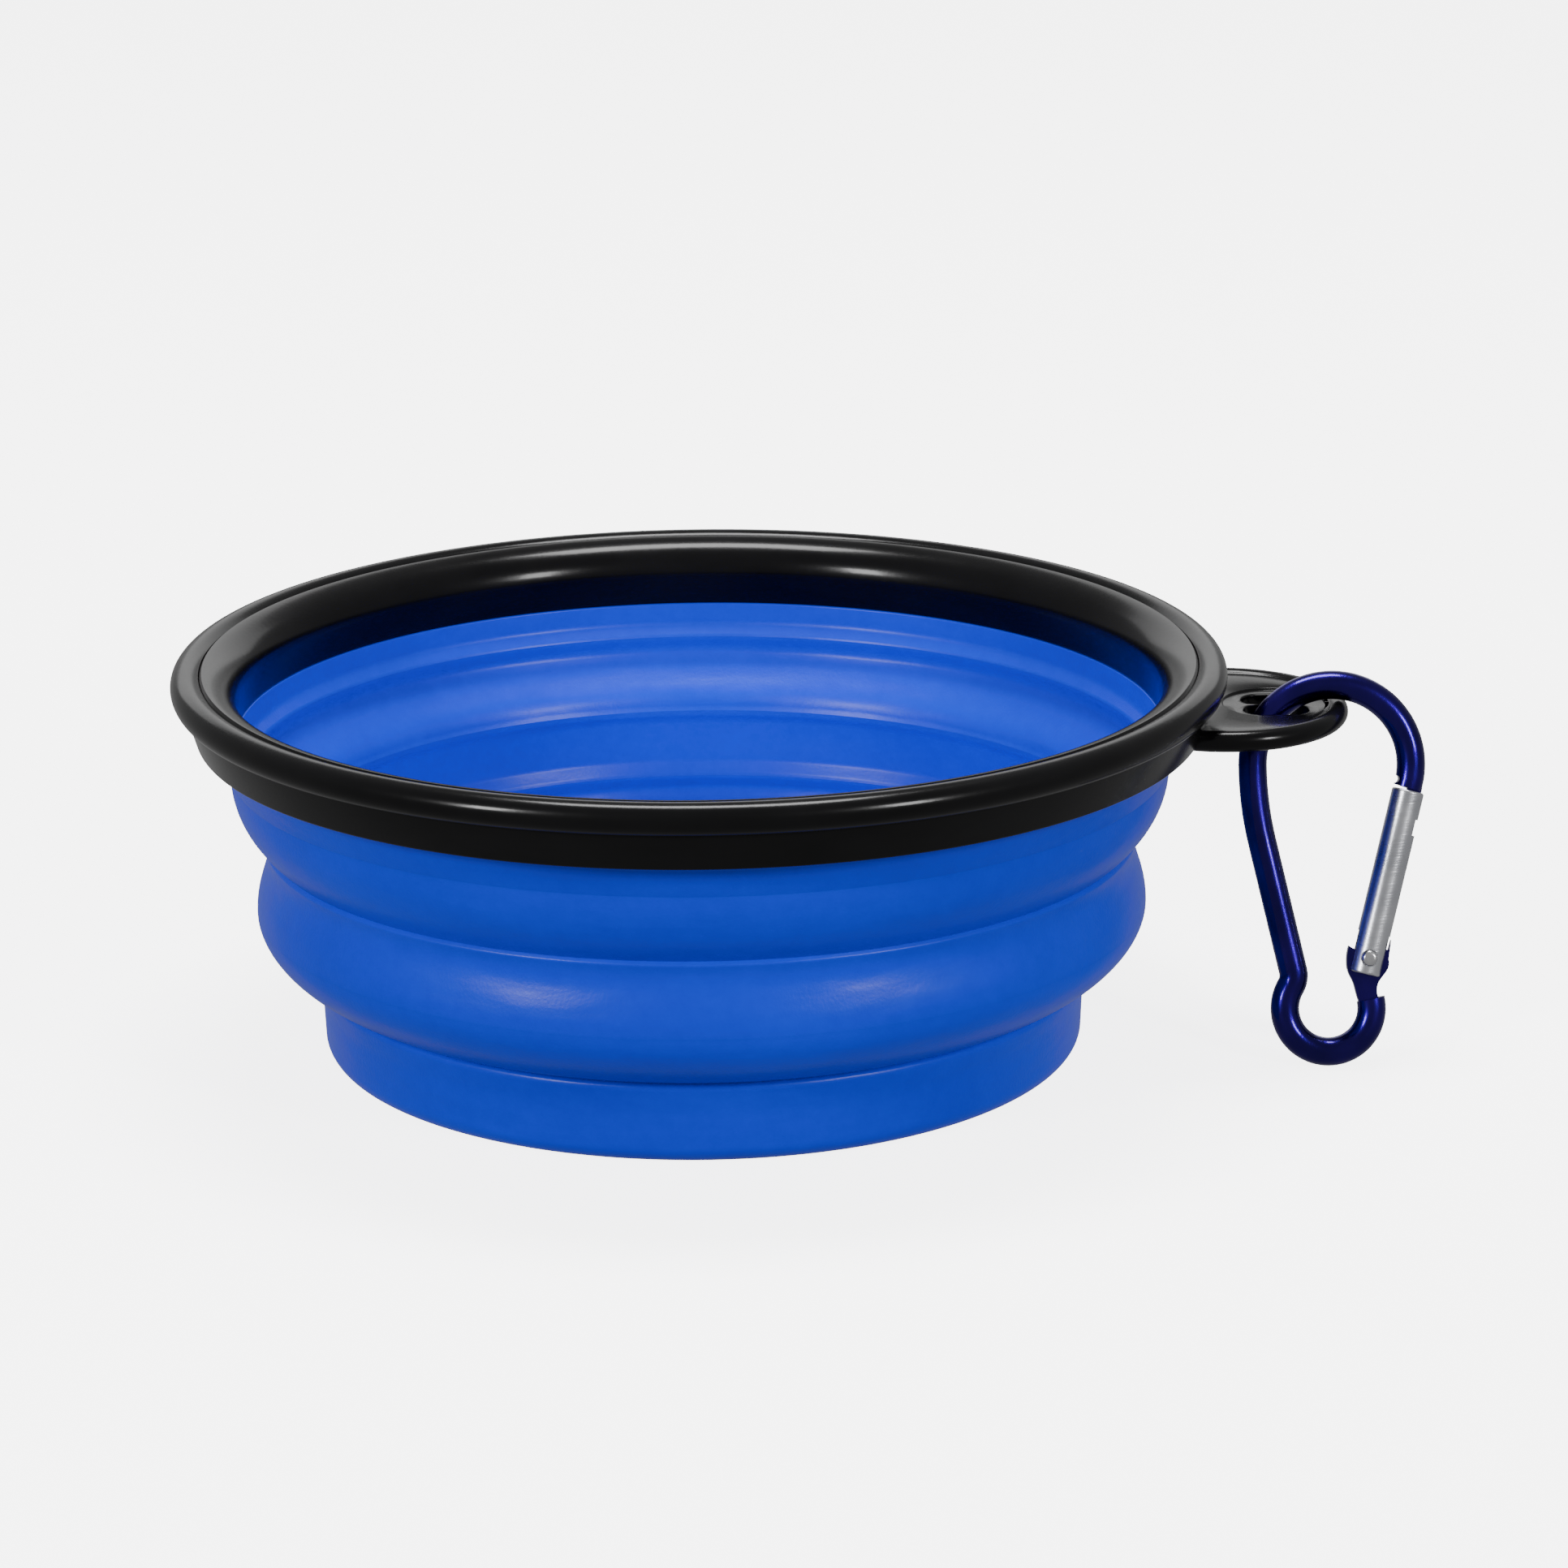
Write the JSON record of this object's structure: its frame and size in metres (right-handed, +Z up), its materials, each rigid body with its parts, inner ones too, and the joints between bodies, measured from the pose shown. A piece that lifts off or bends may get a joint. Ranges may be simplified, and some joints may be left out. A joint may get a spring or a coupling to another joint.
{
  "type": "collapsible travel bowl",
  "caption": "Collapsible blue silicone bowl with two folding tiers, a black two-ring rim with a carry tab, and a spring-gate carabiner hung from the tab.",
  "frame": {"origin": "centre of the foot's underside, on the bowl's axis", "axes": "+Z up out of the bowl, +X from the bowl's axis to the carry tab"},
  "size_m": [0.1558, 0.1312, 0.0499],
  "materials": {
    "silicone_blue": "satin moulded silicone",
    "rim_black": "gloss",
    "anodised_blue": "blue anodised, polished",
    "gate_silver": "satin",
    "steel": "bright"
  },
  "bodies": {
    "rim": {"rim_outer_ring": "rim_black", "rim_inner_ring": "rim_black", "upper_band": "silicone_blue", "upper_fold": "silicone_blue"},
    "middle": {"middle_tier": "silicone_blue", "lower_fold": "silicone_blue"},
    "foot": {"bowl_foot": "silicone_blue"},
    "carabiner": {"carabiner_frame": "anodised_blue"},
    "gate": {"carabiner_gate": "gate_silver", "gate_rivet": "steel", "gate_spring": "steel"},
    "plunger": {"gate_plunger": "steel"}
  },
  "joints": [
    {"name": "fold_upper", "type": "slide", "parent": "rim", "child": "middle", "axis": [0, 0, 1], "range_m": [0, 0.0176], "deforming": ["upper_fold"]},
    {"name": "fold_lower", "type": "slide", "parent": "middle", "child": "foot", "axis": [0, 0, 1], "range_m": [0, 0.0136], "deforming": ["lower_fold"]},
    {"name": "carabiner_swing", "type": "hinge", "parent": "rim", "child": "carabiner", "pos_m": [0.0786, -0.00389, 0.03618], "axis": [0, -0.959, 0.2834], "range_deg": [-30, 110]},
    {"name": "gate_hinge", "type": "hinge", "parent": "carabiner", "child": "gate", "pos_m": [0.08294, -0.01073, 0.01304], "axis": [0, -0.959, 0.2834], "range_deg": [0, 28], "stiffness_Nm_per_rad": 0.03, "springref_deg": -5.73},
    {"name": "plunger_slide", "type": "slide", "parent": "gate", "child": "plunger", "axis": [0.2419, 0.275, 0.9305], "range_m": [0, 0.001], "deforming": ["gate_spring"]}
  ],
  "couplings": [
    {"joint": "plunger_slide", "follows": "gate_hinge", "m_per_rad": 0.0013}
  ]
}
